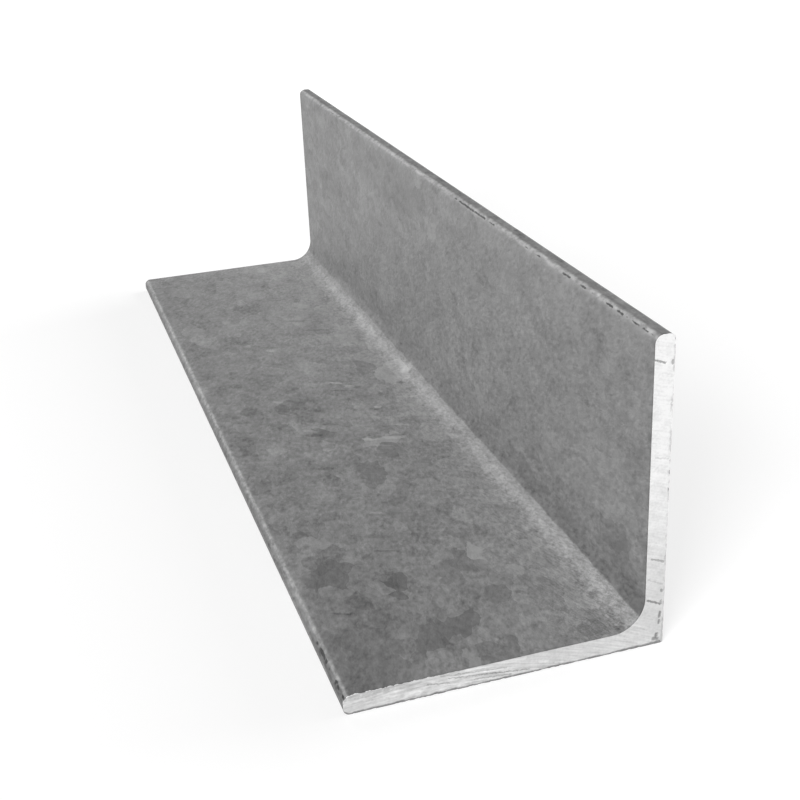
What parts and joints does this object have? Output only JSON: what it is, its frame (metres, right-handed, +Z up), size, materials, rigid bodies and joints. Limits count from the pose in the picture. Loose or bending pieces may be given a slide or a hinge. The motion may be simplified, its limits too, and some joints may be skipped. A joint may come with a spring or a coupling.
{
  "type": "steel angle section",
  "caption": "Equal-leg rolled steel angle with a filleted root and rounded toes, galvanised and sawn square at both ends, lying on one leg.",
  "frame": {"origin": "middle of the underside of the base leg, on the floor", "axes": "+Y along the bar; +X from the base leg's toe to the heel; +Z up the upright leg, which stands at the +X side"},
  "size_m": [0.0762, 0.3048, 0.0762],
  "materials": {
    "galvanised_steel": "hot-dip galvanised, dull grey with a faint spangle; bright bare steel at the two sawn ends"
  },
  "bodies": {
    "root": {"angle_section": "galvanised_steel"}
  },
  "joints": []
}
